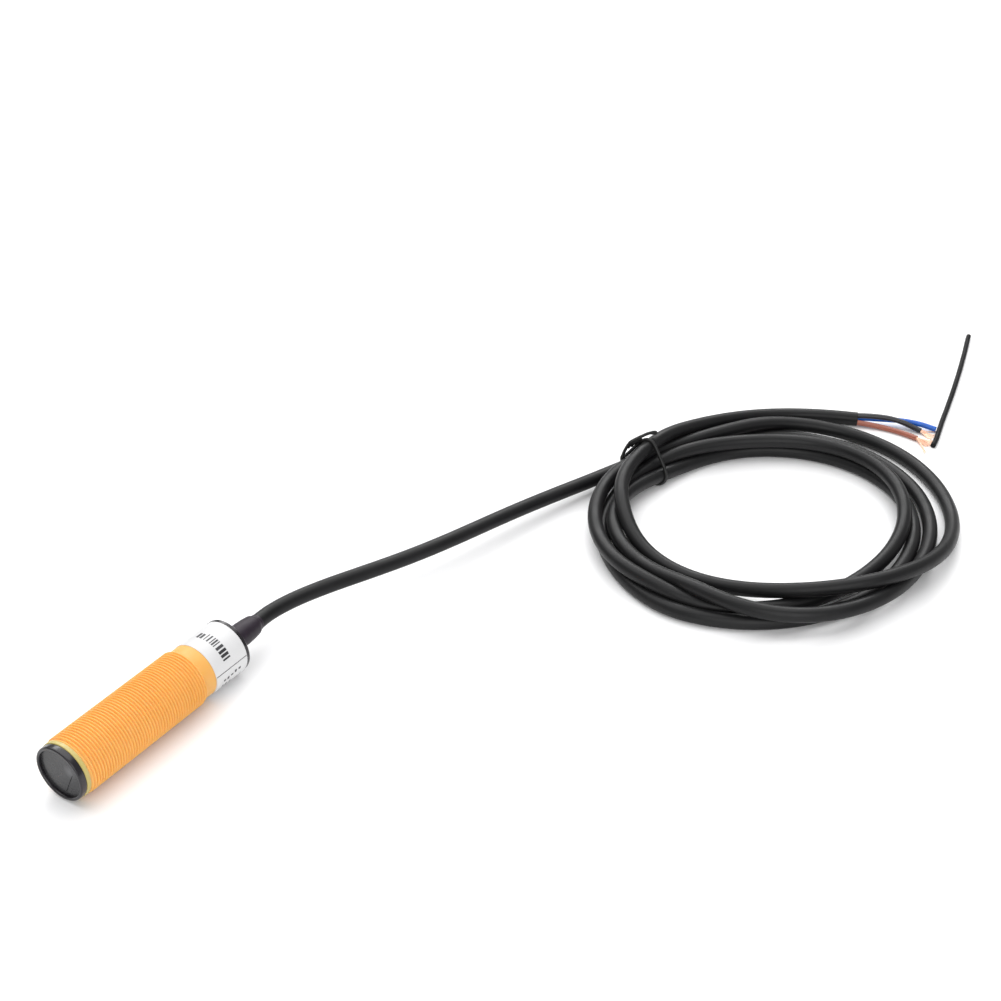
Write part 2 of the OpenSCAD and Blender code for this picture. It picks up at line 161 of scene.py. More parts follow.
def tie_plane(z):
    """Where the tie's plane is along Y, at a height."""
    return TIE_Y + TIE_LEAN * (z - TIE_MID_Z)


def polar(angle, radius, height):
    """A point round the coil's centre; the angle is counted clockwise from +X, in degrees."""
    a = math.radians(-angle)
    return (COIL_CENTRE[0] + radius * math.cos(a), COIL_CENTRE[1] + radius * math.sin(a), height)


def slopes(x, y):
    """Slopes of a curve through the points that doesn't overshoot them."""
    h, d = np.diff(x), np.diff(y) / np.diff(x)
    m = np.zeros(len(y))
    for i in range(1, len(y) - 1):
        if d[i - 1] * d[i] > 0:
            a, b = 2 * h[i] + h[i - 1], h[i] + 2 * h[i - 1]
            m[i] = (a + b) / (a / d[i - 1] + b / d[i])
    m[0], m[-1] = d[0], d[-1]
    return m


def through(x, y, at):
    """Values of that curve at the places asked for."""
    x, y, at = np.asarray(x, float), np.asarray(y, float), np.asarray(at, float)
    m = slopes(x, y)
    i = np.clip(np.searchsorted(x, at) - 1, 0, len(x) - 2)
    h = x[i + 1] - x[i]
    t = (at - x[i]) / h
    return (
        (2 * t**3 - 3 * t**2 + 1) * y[i] + (t**3 - 2 * t**2 + t) * h * m[i]
        + (3 * t**2 - 2 * t**3) * y[i + 1] + (t**3 - t**2) * h * m[i + 1]
    )


def wound():
    """The coil's turns, one after the other, as close points."""
    knots = [(a + 360 * k, r, z) for k, turn in enumerate(TURNS) for a, r, z in turn]
    angle, radius, height = np.array(knots, float).T
    at = np.arange(angle[0], angle[-1], TURN_STEP)
    return [polar(*p) for p in zip(at, through(angle, radius, at), through(angle, height, at))]


def spaced(points, step):
    """The polyline through the points, cut again into equal steps."""
    p = np.asarray(points, float)
    s = np.r_[0, np.cumsum(np.linalg.norm(np.diff(p, axis=0), axis=1))]
    at = np.linspace(0, s[-1], int(round(s[-1] / step)) + 1)
    return np.stack([np.interp(at, s, p[:, k]) for k in range(3)], 1)


def smooth_curve(points, pieces=8):
    """A Catmull-Rom curve through the points."""
    p = np.asarray(points, float)
    q = np.vstack([2 * p[0] - p[1], p, 2 * p[-1] - p[-2]])
    t = (np.arange(pieces) / pieces)[:, None]
    out = []
    for a, b, c, d in zip(q[:-3], q[1:-2], q[2:-1], q[3:]):
        square, cube = 2 * a - 5 * b + 4 * c - d, 3 * b - a - 3 * c + d
        out.append(0.5 * (2 * b + (c - a) * t + square * t**2 + cube * t**3))
    return np.vstack(out + [p[-1:]])


def floor_under(p):
    """Lowest height of the cable's centre: its radius, and a little more on the tie's wire."""
    near_tie = np.exp(-(((p[:, 1] - tie_plane(p[:, 2])) / TIE_REACH) ** 2))
    at_tie = (p[:, 0] > TIE_FROM_X) & (p[:, 0] < TIE_TO_X)
    return CABLE_D / 2 + np.where(at_tie, TIE_D * near_tie, 0)


def fair(count, stiffness, pull, held):
    """Turns a polyline into the fair curve near it: the matrix, and the weight of each point."""
    bend = np.zeros((count - 2, count))
    for k in range(count - 2):
        bend[k, k:k + 3] = 1, -2, 1
    weight = np.full(count, 1.0 + pull)
    weight[held] = HELD_WEIGHT
    return np.linalg.inv(np.diag(weight) + stiffness * bend.T @ bend), weight[:, None]


def settle(start):
    """Lets the stiff cable lie on the surface and on itself, a diameter apart, close to its rough route."""
    count = len(start)
    held = np.zeros(count, bool)
    held[:4] = held[-3:] = True
    matrix, weight = fair(count, STAGES[0][0], 0.0, held)
    goal = matrix @ (weight * start)
    p = goal.copy()
    i, j = np.triu_indices(count, APART)
    for stiffness, rounds in STAGES:
        matrix, weight = fair(count, stiffness, PULL, held)
        for step in range(rounds):
            if step % RELISTED == 0:
                gap = np.linalg.norm(p[j] - p[i], axis=1)
                close = gap < NEAR
                a, b = i[close], j[close]
            wanted = (p + PULL * goal) / (1 + PULL)
            wanted[held] = start[held]
            p = matrix @ (weight * wanted)
            p[:, 2] -= SINK
            for _ in range(PUSHES):
                apart = p[b] - p[a]
                gap = np.linalg.norm(apart, axis=1)
                hit = gap < CABLE_D
                push = apart[hit] * (PUSH_SHARE * (CABLE_D - gap[hit]) / gap[hit])[:, None]
                move, hits = np.zeros_like(p), np.zeros(count)
                for index, sign in ((b[hit], 1), (a[hit], -1)):
                    np.add.at(move, index, sign * push)
                    np.add.at(hits, index, 1)
                p += move / np.maximum(1, hits / 2)[:, None]
                p[:, 2] = np.maximum(p[:, 2], floor_under(p))
                p[held] = start[held]
    matrix, weight = fair(count, LAST_STIFFNESS, 0.0, held)
    return matrix @ (weight * p)


CABLE = settle(spaced(smooth_curve(LEAD + wound() + TAIL), STEP))


# ---------------------------------------------------------------- meshes

def finish_mesh(obj, material, smooth_angle=35.0):
    """Shading, material and body of a new piece."""
    me = obj.data
    if isinstance(material, (list, tuple)):
        for m in material:
            me.materials.append(m)
    else:
        me.materials.append(material)
    if obj.type == "MESH":
        me.shade_smooth()
        me.set_sharp_from_angle(angle=math.radians(smooth_angle))
    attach(obj, BODY)
    return obj


def mesh_piece(name, verts, faces, material, smooth_angle=35.0):
    """A new mesh piece from points in millimetres."""
    me = bpy.data.meshes.new(name)
    me.from_pydata([tuple(c * MM for c in v) for v in verts], [], faces)
    bm = bmesh.new()
    bm.from_mesh(me)
    bmesh.ops.recalc_face_normals(bm, faces=bm.faces)
    bm.to_mesh(me)
    bm.free()
    me.update()
    obj = bpy.data.objects.new(name, me)
    bpy.context.collection.objects.link(obj)
    return finish_mesh(obj, material, smooth_angle)


def grid_faces(rows, columns):
    """Faces between rows of points, closed both ways."""
    faces = []
    for k in range(rows):
        m = (k + 1) % rows
        for i in range(columns):
            j = (i + 1) % columns
            faces.append((k * columns + i, k * columns + j, m * columns + j, m * columns + i))
    return faces


def across(direction):
    """Two unit vectors across a direction: level, and square to both."""
    side = np.cross(direction, (0, 0, 1.0))
    side /= np.linalg.norm(side)
    return side, np.cross(side, direction)


def filleted(outline, radius, steps=3):
    """A closed outline of (d, r) points with its corners rounded."""
    p = [Vector(q) for q in outline]
    out = []
    for k, here in enumerate(p):
        before, after = p[k - 1], p[(k + 1) % len(p)]
        into, away = before - here, after - here
        cut = min(radius, 0.4 * into.length, 0.4 * away.length)
        a, b = here + into.normalized() * cut, here + away.normalized() * cut
        for s in range(steps + 1):
            t = s / steps
            out.append(tuple((1 - t) ** 2 * a + 2 * t * (1 - t) * here + t * t * b))
    return out


def lathe(name, outline, material, segments):
    """A closed outline of (d, r) points turned round the sensor's axis, d counted from the front rim."""
    verts = []
    for k in range(segments):
        a = 2 * math.pi * k / segments
        for d, r in outline:
            verts.append((r * math.cos(a), FRONT_Y + d, AXIS_Z + r * math.sin(a)))
    return mesh_piece(name, verts, grid_faces(segments, len(outline)), material)


def frames(path):
    """Unit directions along a path, and two across it that turn as little as possible."""
    p = np.asarray(path, float)
    t = np.gradient(p, axis=0)
    t /= np.linalg.norm(t, axis=1)[:, None]
    side = np.cross(t[0], (0.0, 0.0, 1.0))
    if np.linalg.norm(side) < 1e-3:
        side = np.array((1.0, 0.0, 0.0))
    sides = []
    for d in t:
        side = side - d * np.dot(side, d)
        side = side / np.linalg.norm(side)
        sides.append(side)
    sides = np.array(sides)
    return t, sides, np.cross(sides, t)


def tube_mesh(path, radii, sides=12, closed=False):
    """Points and faces of a tube along a path, with flat ends unless it is closed."""
    p = np.asarray(path, float)
    radii = np.broadcast_to(np.asarray(radii, float), (len(p),))
    if closed:
        around = np.vstack([p[-1:], p, p[:1]])
        _, s, u = (x[1:-1] for x in frames(around))
    else:
        _, s, u = frames(p)
    verts, faces = [], []
    for k in range(len(p)):
        for m in range(sides):
            a = 2 * math.pi * m / sides
            verts.append(tuple(p[k] + radii[k] * (math.cos(a) * s[k] + math.sin(a) * u[k])))
    last = len(p) if closed else len(p) - 1
    for k in range(last):
        n = (k + 1) % len(p)
        for m in range(sides):
            q = (m + 1) % sides
            faces.append((k * sides + m, k * sides + q, n * sides + q, n * sides + m))
    if not closed:
        faces.append(tuple(range(sides)))
        faces.append(tuple((len(p) - 1) * sides + m for m in reversed(range(sides))))
    return verts, faces


def joined(parts):
    """Several lots of points and faces as one."""
    verts, faces = [], []
    for v, f in parts:
        faces += [tuple(i + len(verts) for i in face) for face in f]
        verts += list(v)
    return verts, faces


# ---------------------------------------------------------------- materials

class Paint:
    """A material built on one Principled shader, with noise in object space."""

    def __init__(self, name, **sockets):
        self.mat = bpy.data.materials.new(name)
        self.mat.use_nodes = True
        self.tree = self.mat.node_tree
        self.shader = self.tree.nodes["Principled BSDF"]
        for key, value in sockets.items():
            socket = self.shader.inputs[key.replace("_", " ")]
            socket.default_value = (*value, 1.0) if socket.type == "RGBA" else value
        self.place = self.tree.nodes.new("ShaderNodeTexCoord").outputs["Object"]

    def node(self, kind, **values):
        node = self.tree.nodes.new(kind)
        for key, value in values.items():
            setattr(node, key, value)
        return node

    def link(self, a, b):
        self.tree.links.new(a, b)

    def noise(self, scale, detail=4.0):
        node = self.node("ShaderNodeTexNoise")
        node.inputs["Scale"].default_value = scale
        node.inputs["Detail"].default_value = detail
        node.inputs["Roughness"].default_value = 0.55
        self.link(self.place, node.inputs["Vector"])
        return node.outputs["Fac"]

    def mapped(self, value, low, high, new_low, new_high):
        node = self.node("ShaderNodeMapRange")
        for key, v in zip(("From Min", "From Max", "To Min", "To Max"), (low, high, new_low, new_high)):
            node.inputs[key].default_value = v
        self.link(value, node.inputs["Value"])
        return node.outputs["Result"]

    def mixed(self, factor, a, b):
        node = self.node("ShaderNodeMix", data_type="RGBA")
        for socket, colour in ((node.inputs[6], a), (node.inputs[7], b)):
            if isinstance(colour, tuple):
                socket.default_value = (*colour, 1.0)
            else:
                self.link(colour, socket)
        self.link(factor, node.inputs[0])
        return node.outputs[2]

    def wander(self, a, b, scale):
        """A colour that wanders between two colours."""
        return self.mixed(self.mapped(self.noise(scale), 0.35, 0.65, 0.0, 1.0), a, b)

    def colour(self, a, b, scale):
        self.link(self.wander(a, b, scale), self.shader.inputs["Base Color"])

    def rough(self, low, high, scale):
        value = self.mapped(self.noise(scale), 0.3, 0.7, low, high)
        self.link(value, self.shader.inputs["Roughness"])

    def bump(self, height, depth_mm, strength=1.0, before=None):
        node = self.node("ShaderNodeBump")
        node.inputs["Strength"].default_value = strength
        node.inputs["Distance"].default_value = depth_mm * MM
        self.link(height, node.inputs["Height"])
        if before is not None:
            self.link(before, node.inputs["Normal"])
        self.link(node.outputs["Normal"], self.shader.inputs["Normal"])
        return node.outputs["Normal"]


def plastic(name, dark, light, rough, grain=900.0, depth=0.01, patch=60.0, **sockets):
    """Moulded plastic or rubber: slightly uneven colour and gloss, with a fine grain."""
    p = Paint(name, **sockets)
    p.colour(dark, light, patch)
    p.rough(rough[0], rough[1], patch * 3)
    coarse = p.bump(p.noise(patch * 4, 2.0), depth * 1.5, 0.5)
    p.bump(p.noise(grain, 3.0), depth, 0.7, coarse)
    return p.mat


PAINTED_GLINT_AT = (3.4, FRONT_Y + 1.0, 10.9)  # centre of the painted glint on the window, standing in for the lens behind it showing through
PAINTED_GLINT_R = 2.4

MAT = {
    "barrel": plastic(
        "barrel_yellow", (0.77, 0.375, 0.092), (0.82, 0.412, 0.112), (0.38, 0.5), 1500, 0.004, 40,
        Specular_IOR_Level=0.3, Subsurface_Weight=0.5, Subsurface_Radius=(0.9, 0.55, 0.25),
        Subsurface_Scale=0.0024,
    ),
    # The front lip's darker, greener colour is painted light, standing in for light passing through its
    # thin wall.
    "lip": plastic(
        "barrel_lip_painted_light", (0.46, 0.38, 0.11), (0.52, 0.43, 0.15), (0.35, 0.5), 1500, 0.004, 60,
        Subsurface_Weight=0.3, Subsurface_Radius=(0.6, 0.5, 0.2), Subsurface_Scale=0.001,
    ),
    "bezel": plastic(
        "bezel_black", (0.007, 0.006, 0.008), (0.013, 0.011, 0.014), (0.16, 0.26), 1800, 0.003, 80,
    ),
    "seal": plastic("seal_rubber", (0.02, 0.02, 0.02), (0.03, 0.03, 0.03), (0.6, 0.75)),
    "holder": plastic("holder_black", (0.015, 0.015, 0.017), (0.025, 0.025, 0.028), (0.5, 0.65)),
    "lens": plastic(
        "lens_clear", (0.75, 0.8, 0.86), (0.8, 0.85, 0.9), (0.03, 0.08), Transmission_Weight=0.9, IOR=1.49,
    ),
    "led_package": plastic(
        "diode_tint", (0.06, 0.04, 0.16), (0.09, 0.06, 0.22), (0.08, 0.16), Transmission_Weight=0.5,
    ),
    "chip_package": plastic(
        "chip_black", (0.015, 0.015, 0.015), (0.03, 0.03, 0.03), (0.45, 0.6), 2500, 0.01,
    ),
    "board": plastic(
        "board_green", (0.012, 0.12, 0.04), (0.02, 0.18, 0.06), (0.25, 0.4), 2500, 0.01, 120,
    ),
    "capacitor": plastic(
        "capacitor_can", (0.5, 0.5, 0.52), (0.62, 0.62, 0.64), (0.25, 0.4), Metallic=1.0,
    ),
    "trimmer_case": plastic("trimmer_blue", (0.02, 0.07, 0.3), (0.03, 0.1, 0.38), (0.35, 0.5)),
    "brass_part": plastic(
        "rotor_brass", (0.62, 0.42, 0.14), (0.78, 0.56, 0.22), (0.22, 0.38), Metallic=1.0,
    ),
    "indicator": plastic(
        "lamp_red", (0.45, 0.01, 0.01), (0.6, 0.02, 0.02), (0.1, 0.2), Transmission_Weight=0.4,
    ),
    "relief": plastic(
        "relief_rubber", (0.012, 0.007, 0.013), (0.024, 0.014, 0.027), (0.40, 0.55), 1300, 0.02, 70,
        Specular_IOR_Level=0.35,
    ),
    "jacket": plastic(
        "cable_jacket", (0.006, 0.006, 0.0065), (0.011, 0.011, 0.0115), (0.34, 0.46), 1500, 0.015, 45,
        Specular_IOR_Level=0.22,
    ),
    "label": plastic(
        "label_foil", (0.56, 0.56, 0.565), (0.63, 0.63, 0.635), (0.34, 0.48), 1200, 0.006, 50,
    ),
    "core_brown": plastic(
        "core_brown", (0.26, 0.075, 0.045), (0.34, 0.11, 0.07), (0.25, 0.38), 1500, 0.008, 90,
    ),
    "core_black": plastic(
        "core_black", (0.009, 0.009, 0.012), (0.016, 0.016, 0.020), (0.25, 0.38), 1500, 0.008, 90,
    ),
    "core_blue": plastic(
        "core_blue", (0.004, 0.085, 0.42), (0.008, 0.12, 0.55), (0.25, 0.38), 1500, 0.008, 90,
    ),
    "copper": plastic(
        "copper_strand", (0.88, 0.5, 0.34), (0.98, 0.72, 0.56), (0.28, 0.42), 2500, 0.006, 200,
        Metallic=0.4,
    ),
    "sleeve": plastic(
        "sleeve_black", (0.004, 0.004, 0.0045), (0.008, 0.008, 0.009), (0.45, 0.6), 1500, 0.008, 90,
        Specular_IOR_Level=0.15,
    ),
    "tie": plastic(
        "tie_black", (0.007, 0.007, 0.007), (0.013, 0.013, 0.013), (0.38, 0.5), 2000, 0.02, 120,
        Specular_IOR_Level=0.35,
    ),
}


def tinted_window():
    """The dark filter, with a painted glint: a lighter spot where the lens behind it would show through."""
    p = Paint("window_tint", Specular_IOR_Level=0.32)
    away = p.node("ShaderNodeVectorMath", operation="DISTANCE")
    away.inputs[1].default_value = tuple(c * MM for c in PAINTED_GLINT_AT)
    p.link(p.place, away.inputs[0])
    # painted glint: the colour grows lighter towards the lens's place, over the glint's radius
    painted_glint = p.mapped(away.outputs["Value"], 0.0, PAINTED_GLINT_R * MM, 1.0, 0.0)
    plain = p.wander((0.022, 0.022, 0.023), (0.030, 0.030, 0.032), 60.0)
    p.link(p.mixed(painted_glint, plain, (0.10, 0.10, 0.105)), p.shader.inputs["Base Color"])
    p.rough(0.20, 0.32, 180.0)
    p.bump(p.noise(1400.0, 3.0), 0.003, 0.6)
    return p.mat


MAT["window"] = tinted_window()
# Dark print for the bars and marks; the same colour paints the shadow strip along the label's seam.
PRINT_AND_SEAM_SHADE = plastic("label_ink_and_seam_shadow", (0.015, 0.015, 0.017), (0.05, 0.05, 0.055), (0.4, 0.55), 2500, 0.004, 400)


# ---------------------------------------------------------------- barrel

LIP_FROM, LIP_TO = 2.1, 3.5
THREAD_FROM, THREAD_TO = 3.5, 49.5
PITCH = 1.0
CREST_R, ROOT_R, PLAIN_R, BORE_R = 9.0, 8.39, 8.3, 7.5
FLANGE_FRONT = 66.6
BARREL_SEGMENTS = 120
ROWS_PER_PITCH = 14
ROOT_FLAT, FLANK = 0.1, 0.78  # of half a pitch; the rest is the crest's flat
THREAD_FADE = 0.9  # the thread rises and runs out over this length


def thread_height(phase):
    """Height of a rounded 60 degree ridge, 0 at the root and 1 at the crest."""
    flank = np.clip((1 - np.abs(2 * (phase % 1.0) - 1) - ROOT_FLAT) / FLANK, 0, 1)
    return flank * flank * (3 - 2 * flank)


def barrel():
    """Thread of one start between the front lip and the plain rear stretch, bored through."""
    rows = int((THREAD_TO - THREAD_FROM) / PITCH * ROWS_PER_PITCH)
    along = np.linspace(THREAD_FROM, THREAD_TO, rows + 1)
    turn = np.arange(BARREL_SEGMENTS) / BARREL_SEGMENTS
    fade = np.clip(np.minimum(along - THREAD_FROM, THREAD_TO - along) / THREAD_FADE, 0, 1)
    height = thread_height((along[:, None] - THREAD_FROM) / PITCH + turn[None, :])
    threaded = ROOT_R + (CREST_R - ROOT_R) * height * fade[:, None]

    lead_in = [
        (LIP_FROM + 0.9, BORE_R), (LIP_FROM, BORE_R), (LIP_FROM, 8.5), (LIP_FROM + 0.12, 8.68),
        (LIP_TO - 0.25, 8.72), (LIP_TO - 0.08, 8.62),
    ]
    run_out = [
        (THREAD_TO + 0.15, 8.38), (THREAD_TO + 0.35, PLAIN_R + 0.02), (THREAD_TO + 0.5, PLAIN_R),
        (52, PLAIN_R), (58, PLAIN_R), (64, PLAIN_R), (FLANGE_FRONT - 0.12, PLAIN_R),
        (FLANGE_FRONT, PLAIN_R - 0.12), (FLANGE_FRONT, BORE_R), (45, BORE_R), (25, BORE_R), (10, BORE_R),
    ]
    rings = [(np.full(BARREL_SEGMENTS, d), np.full(BARREL_SEGMENTS, r)) for d, r in lead_in]
    rings += [(np.full(BARREL_SEGMENTS, d), threaded[k]) for k, d in enumerate(along)]
    rings += [(np.full(BARREL_SEGMENTS, d), np.full(BARREL_SEGMENTS, r)) for d, r in run_out]
    verts = []
    for d, r in rings:
        for k in range(BARREL_SEGMENTS):
            a = 2 * math.pi * turn[k]
            verts.append((r[k] * math.cos(a), FRONT_Y + d[k], AXIS_Z + r[k] * math.sin(a)))
    faces = grid_faces(len(rings), BARREL_SEGMENTS)
    obj = mesh_piece("barrel_shell", verts, faces, (MAT["barrel"], MAT["lip"]), 40)
    # The front lip's outer faces take the second material, with its painted light.
    for face in obj.data.polygons:
        d = face.center.y / MM - FRONT_Y
        outside = math.hypot(face.center.x, face.center.z - AXIS_Z * MM) / MM > BORE_R + 0.02
        if d < LIP_TO - 0.02 and outside:
            face.material_index = 1
    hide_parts("threaded_barrel")


barrel()


# ---------------------------------------------------------------- front, rear and relief

def front():
    """Bezel ring with a rounded rim and a step down to the window."""
    outline = [
        (0.98, 7.43), (0.45, 7.43), (0.18, 7.53), (0.03, 7.74), (0.0, 7.98), (0.05, 8.24), (0.22, 8.43),
        (0.5, 8.5), (1.9, 8.5), (2.1, 8.42), (2.1, 7.25), (6.5, 7.25), (6.5, 6.8), (1.9, 6.8), (1.9, 7.43),
    ]
    obj = lathe("bezel_ring", filleted(outline, 0.08, 2), MAT["bezel"], 160)
    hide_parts("front_bezel")


def rear():
    """Strain relief with a rounded shoulder and a thin lip, on a root that fills the cap's hole."""
    outline = [
        (61.6, 2.42), (81.0, 2.42), (81.0, 2.5), (80.1, 2.58), (79.7, 2.82), (79.2, 3.08), (78.6, 3.24),
        (76.5, 3.48), (74.0, 3.63), (71.5, 3.66), (70.0, 3.6), (69.0, 3.44), (67.8, 3.4), (67.8, 2.79),
        (61.6, 2.79),
    ]
    obj = lathe("relief_sleeve", filleted(outline, 0.16, 3), MAT["relief"], 64)
    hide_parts("strain_relief")


front()
rear()


def arc_patch(d0, d1, a0, a1, r0, r1, steps):
    """A thin curved plate on the barrel: stations d0 to d1, angles a0 to a1 in degrees, radii r0 to r1."""
    verts, faces = [], []
    for k in range(steps + 1):
        a = math.radians(a0 + (a1 - a0) * k / steps)
        for d, r in ((d0, r0), (d1, r0), (d1, r1), (d0, r1)):
            verts.append((r * math.cos(a), FRONT_Y + d, AXIS_Z + r * math.sin(a)))
    for k in range(steps):
        for i in range(4):
            j = (i + 1) % 4
            faces.append((k * 4 + i, k * 4 + j, k * 4 + 4 + j, k * 4 + 4 + i))
    faces += [(0, 1, 2, 3), tuple(4 * steps + i for i in (3, 2, 1, 0))]
    return verts, faces


LABEL_FROM, LABEL_TO, LABEL_R = 53.45, 66.55, 8.41
LABEL_INNER_R = 8.305
SEAM = 4.5  # angle of the label's overlap, in degrees above the sensor's right side
LAP_R = LABEL_R + 0.14
LAP_TURN = 52  # degrees that the label's end covers
PLATE_T = 0.02
PLATE_GAP = 0.002
BARS_D = 57.8  # station of the bars' front ends
BARS_FROM, BARS_TO = 26.0, 106  # degrees
# Small marks on the lap: station, angle, width in degrees, and length along the barrel
MARKS = (
    (56.4, -17, 5, 0.9), (57.9, -18, 7, 0.8), (59.4, -15, 4, 1.0), (61.0, -14, 7, 0.8),
    (62.6, -13, 5, 0.9), (56.2, -33, 6, 0.7), (57.6, -36, 9, 0.7), (59.2, -34, 5, 0.7),
)


def label():
    """The wrapped label, its overlap at the seam, a painted shadow along the overlap's edge, and generic
    printed bars.
    """
    wrap = arc_patch(LABEL_FROM, LABEL_TO, SEAM, SEAM + 359.0, LABEL_INNER_R, LABEL_R, 120)
    lap = arc_patch(LABEL_FROM + 0.1, LABEL_TO - 0.1, SEAM - LAP_TURN, SEAM, LABEL_R + 0.005, LAP_R, 18)
    verts, faces = joined([wrap, lap])
    obj = mesh_piece("label_wrap", verts, faces, MAT["label"], 30)
    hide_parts("wrap_label")

    rng = random.Random(7)
    low = LABEL_R + PLATE_GAP
    # Painted shadow: a thin dark strip along the overlap's edge at the seam, standing in for the shade of
    # the step there.
    parts = [arc_patch(LABEL_FROM + 0.2, LABEL_TO - 0.2, SEAM + 0.3, SEAM + 1.5, low, low + PLATE_T, 2)]
    angle = BARS_FROM
    while angle < BARS_TO:
        width, tall = rng.choice((2.2, 3.6, 6.0)), rng.choice((2.9, 2.9, 2.3))
        parts.append(arc_patch(BARS_D, BARS_D + tall, angle, angle + width, low, low + PLATE_T, 3))
        angle += width + rng.choice((2.4, 3.2, 4.6))
    low = LAP_R + PLATE_GAP
    for d, a, width, long in MARKS:
        parts.append(arc_patch(d, d + long, a, a + width, low, low + PLATE_T, 3))
    verts, faces = joined(parts)
    mesh_piece("label_bars_and_seam_shadow", verts, faces, PRINT_AND_SEAM_SHADE, 30)


label()


# ---------------------------------------------------------------- cable, cores, sleeve and tie

def cable():
    """The jacketed cable as one curve, from the strain relief to the cut end."""
    data = bpy.data.curves.new("cable", "CURVE")
    data.dimensions = "3D"
    data.bevel_depth = CABLE_D / 2 * MM
    data.bevel_resolution = 8
    data.use_fill_caps = True
    spline = data.splines.new("POLY")
    spline.points.add(len(CABLE) - 1)
    for point, place in zip(spline.points, CABLE):
        point.co = (*(place * MM), 1.0)
    spline.use_smooth = True
    obj = bpy.data.objects.new("cable", data)
    bpy.context.collection.objects.link(obj)
    data.materials.append(MAT["jacket"])
    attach(obj, BODY)
    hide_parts("cable_lead", "cable_coil", "cable_tail")
    return obj


END = CABLE[-1]
END_DIR = CABLE[-1] - CABLE[-3]
END_DIR = END_DIR / np.linalg.norm(END_DIR)


def tube_piece(name, points, diameter, material, sides=16, pieces=8, chamfer=0.12):
    """A round wire or sleeve with slightly rounded ends."""
    path = smooth_curve(points, pieces)
    t = np.gradient(path, axis=0)
    t /= np.linalg.norm(t, axis=1)[:, None]
    path = np.vstack([path[0], path[0] + t[0] * chamfer, path[1:-1], path[-1] - t[-1] * chamfer, path[-1]])
    radii = np.full(len(path), diameter / 2)
    radii[[0, -1]] -= chamfer
    verts, faces = tube_mesh(path, radii, sides)
    return mesh_piece(name, verts, faces, MAT[material], 50), path


BROWN = [
    (92.7, 255.6, 1.7), (97, 257.2, 1.4), (101, 258.4, 1.1), (105.5, 259, 1), (110, 259, 1),
    (114, 258.6, 1),
]
BLACK = [
    (91.8, 256.9, 3.6), (96.5, 259.4, 3.7), (101.5, 261.6, 3.5), (106, 263, 2.8), (110, 263.6, 1.8),
    (113.2, 263.9, 1.1),
]
BLUE = [
    (91.2, 257.9, 2), (96, 260.6, 1.9), (101, 263, 2), (106, 264.9, 2.2), (111.5, 266.5, 2),
    (117.2, 267.8, 1.1),
]
# A scratch program measured the sleeve's centreline in the photograph. These points are what it
# printed, shifted by up to 0.7 mm.
SLEEVE = [
    (120.6, 257.4, 0.9), (119.8, 262, 0.9), (118.2, 268.4, 0.9), (116.4, 275.6, 0.9), (114.7, 283, 0.9),
    (113, 290.2, 0.9), (111.2, 297.6, 0.9), (109.3, 305, 0.9), (107.3, 312.6, 0.9), (105.2, 320.2, 0.9),
    (103, 328, 0.9), (100.6, 336, 0.9), (99.8, 339, 0.9),
]


CORE_INSIDE = 3  # how far the cores run back into the jacket


def cores():
    """The three insulated cores, drawn out of the jacket."""
    out = []
    for colour, route in (("brown", BROWN), ("black", BLACK), ("blue", BLUE)):
        inside = tuple(END - END_DIR * CORE_INSIDE + (np.array(route[0]) - END) * 0.75)
        core = "core_" + colour
        obj, _ = tube_piece(core + "_wire", [inside] + route, CORE_D, core)
        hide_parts(core)
        out.append(obj)
    return out


STRAND_R = 0.15
BUNDLE_R = 0.55  # of the strands' centres inside the core
STRAND_INSIDE = 0.6
STRAND_LOW_Z = 0.14


def strands(name, route, seed, count, length, spread, node):
    """Fine copper strands that splay out from the end of a core."""
    rng = random.Random(seed)
    end, before = np.array(route[-1], float), np.array(route[-2], float)
    t = (end - before) / np.linalg.norm(end - before)
    side, up = across(t)
    parts = []
    for k in range(count):
        a, r = rng.uniform(0, 2 * math.pi), BUNDLE_R * math.sqrt(rng.random())
        start = end - t * STRAND_INSIDE + r * (math.cos(a) * side + math.sin(a) * up)
        fan = rng.uniform(-spread, spread) + 0.35 * r * math.cos(a)
        reach = length * rng.uniform(0.72, 1.05)
        path = []
        for s in np.linspace(0, 1, 7):
            q = start + t * reach * s + side * fan * reach * s**1.4 + up * rng.uniform(-0.04, 0.04)
            low = 0.16 + 0.12 * (k % 3)
            q[2] = q[2] * (1 - s**1.5) + low * s**1.5
            q[2] = max(q[2], STRAND_LOW_Z)
            path.append(q)
        parts.append(tube_mesh(smooth_curve(path, 3), STRAND_R, 8))
    verts, faces = joined(parts)
    obj = mesh_piece(name, verts, faces, MAT["copper"], 60)
    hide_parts(node)
    return obj


def jacket_end():
    """The cut face of the jacket, a ring with a recess that the cores come out of."""
    corners = [(-0.4, 1.2), (-0.4, 2.3), (0.05, 2.36), (0.12, 2.25), (0.12, 2.0), (-0.25, 1.9)]
    outline = filleted(corners, 0.04, 2)
    side, up = across(END_DIR)
    verts, segments = [], 40
    for k in range(segments):
        a = 2 * math.pi * k / segments
        for d, r in outline:
            verts.append(tuple(END + END_DIR * d + r * (math.cos(a) * side + math.sin(a) * up)))
    faces = grid_faces(segments, len(outline))
    return mesh_piece("jacket_end", verts, faces, MAT["jacket"], 40)


def hull(points):
    """Convex outline of flat points, anticlockwise."""
    p = sorted(set(map(tuple, points)))

    def turns_left(a, b, c):
        return (b[0] - a[0]) * (c[1] - a[1]) > (b[1] - a[1]) * (c[0] - a[0])

    def half(row):
        out = []
        for q in row:
            while len(out) > 1 and not turns_left(out[-2], out[-1], q):
                out.pop()
            out.append(q)
        return out[:-1]

    return half(p) + half(p[::-1])


